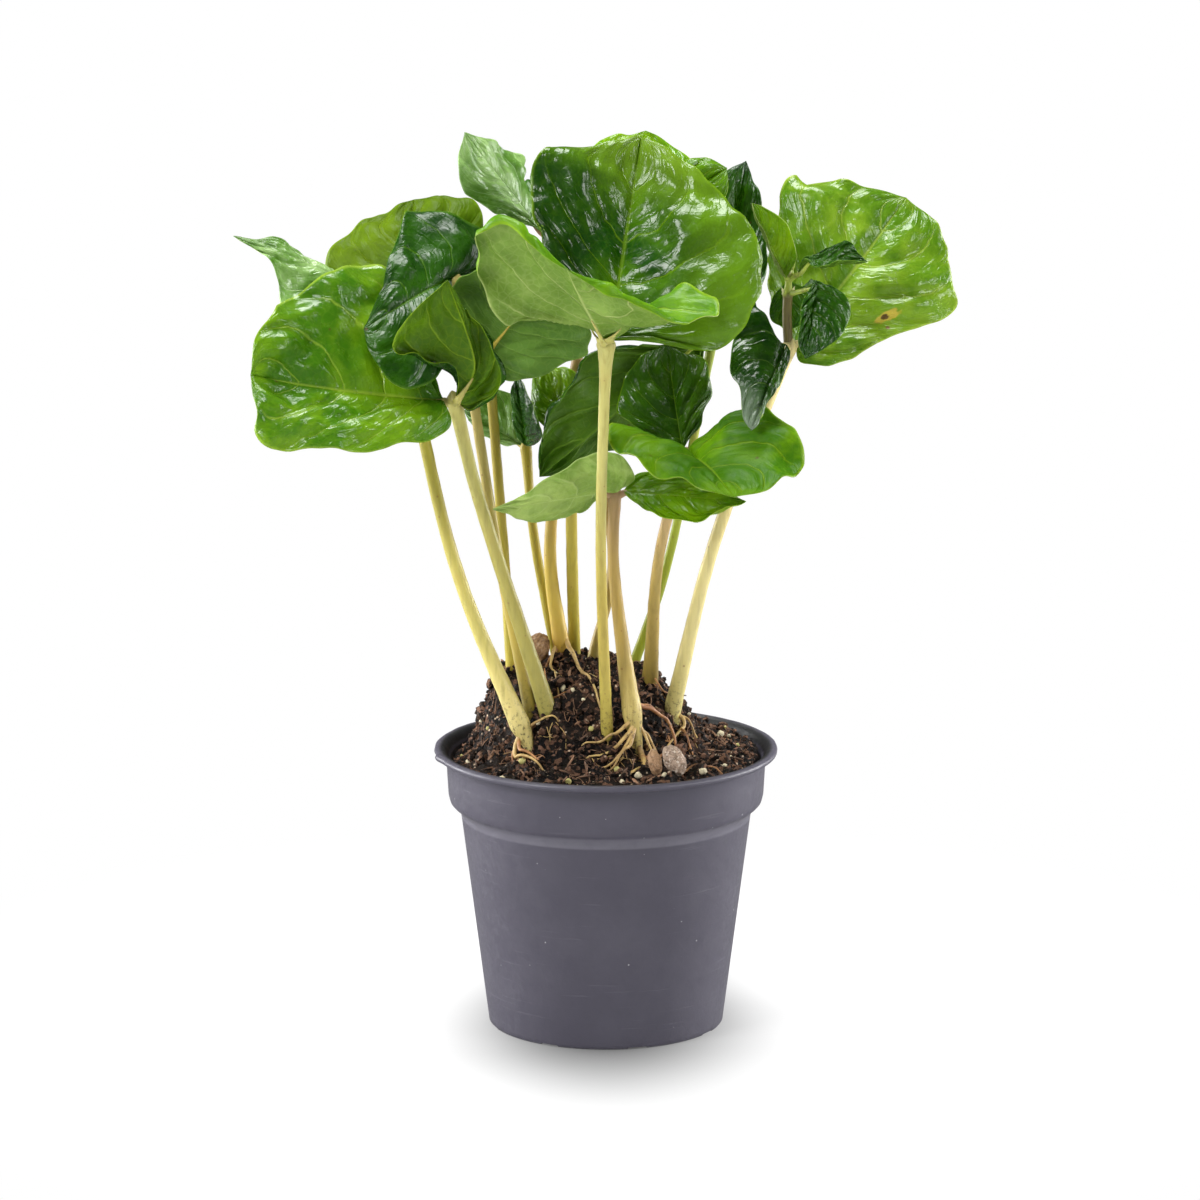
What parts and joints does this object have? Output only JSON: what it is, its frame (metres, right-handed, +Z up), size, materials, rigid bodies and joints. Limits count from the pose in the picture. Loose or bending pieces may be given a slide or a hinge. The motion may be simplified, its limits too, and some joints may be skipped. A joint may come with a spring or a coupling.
{
  "type": "potted coffee plant",
  "caption": "Round plastic nursery pot of soil with a cluster of young coffee seedlings: slender stems, broad paired glossy leaves and a young shoot.",
  "frame": {"origin": "middle of the pot's flat underside", "axes": "+Z up along the pot's axis, +Y towards the back of the plant, +X to its right seen from the front"},
  "size_m": [0.2508, 0.1702, 0.3152],
  "materials": {
    "pot": "matte dusty grey-purple plastic",
    "soil": "dark crumbly peat with bark, perlite and fertiliser beads",
    "stem": "satin pale yellow-green to tan bark",
    "seed_leaf": "glossy dark green above, matte pale green below",
    "shoot_stalk": "satin brown-green",
    "shoot_bud": "satin light green",
    "shoot_leaf": "glossy green",
    "root": "dry satin tan",
    "husk_pale": "dry pale papery husk",
    "husk_brown": "dry brown papery husk"
  },
  "bodies": {
    "root": {"pot": "pot", "soil": "soil", "husk_pale": "husk_pale", "husk_brown": "husk_brown", "seedling_01_stem": "stem", "seedling_01_leaf_a": "seed_leaf", "seedling_01_leaf_b": "seed_leaf", "seedling_02_stem": "stem", "seedling_02_leaf_a": "seed_leaf", "seedling_02_leaf_b": "seed_leaf", "seedling_03_stem": "stem", "seedling_03_leaf_a": "seed_leaf", "seedling_03_leaf_b": "seed_leaf", "seedling_04_stem": "stem", "seedling_04_leaf_a": "seed_leaf", "seedling_04_leaf_b": "seed_leaf", "seedling_05_stem": "stem", "seedling_05_leaf_a": "seed_leaf", "seedling_05_leaf_b": "seed_leaf", "seedling_06_stem": "stem", "seedling_06_leaf_a": "seed_leaf", "seedling_06_leaf_b": "seed_leaf", "seedling_07_stem": "stem", "seedling_07_leaf_a": "seed_leaf", "seedling_07_leaf_b": "seed_leaf", "seedling_08_stem": "stem", "seedling_08_leaf_a": "seed_leaf", "seedling_08_leaf_b": "seed_leaf", "seedling_09_stem": "stem", "seedling_09_leaf_a": "seed_leaf", "seedling_09_leaf_b": "seed_leaf", "seedling_10_stem": "stem", "seedling_10_leaf_a": "seed_leaf", "seedling_10_leaf_b": "seed_leaf", "seedling_11_stem": "stem", "seedling_11_leaf_a": "seed_leaf", "seedling_11_leaf_b": "seed_leaf", "seedling_12_stem": "stem", "seedling_12_leaf_a": "seed_leaf", "seedling_12_leaf_b": "seed_leaf", "seedling_13_stem": "stem", "seedling_13_leaf_a": "seed_leaf", "seedling_13_leaf_b": "seed_leaf", "seedling_01_root": "root", "seedling_06_root": "root", "seedling_12_root": "root", "seedling_09_tap_root": "root", "seedling_09_root_a": "root", "seedling_09_root_b": "root", "seedling_09_root_c": "root", "seedling_09_root_d": "root", "seedling_09_root_e": "root", "shoot_stalk": "shoot_stalk", "shoot_bud": "shoot_bud", "shoot_leaf_upright": "shoot_leaf", "shoot_leaf_folded": "shoot_leaf", "shoot_leaf_drooping": "shoot_leaf", "shoot_leaf_shaded": "shoot_leaf"}
  },
  "joints": []
}
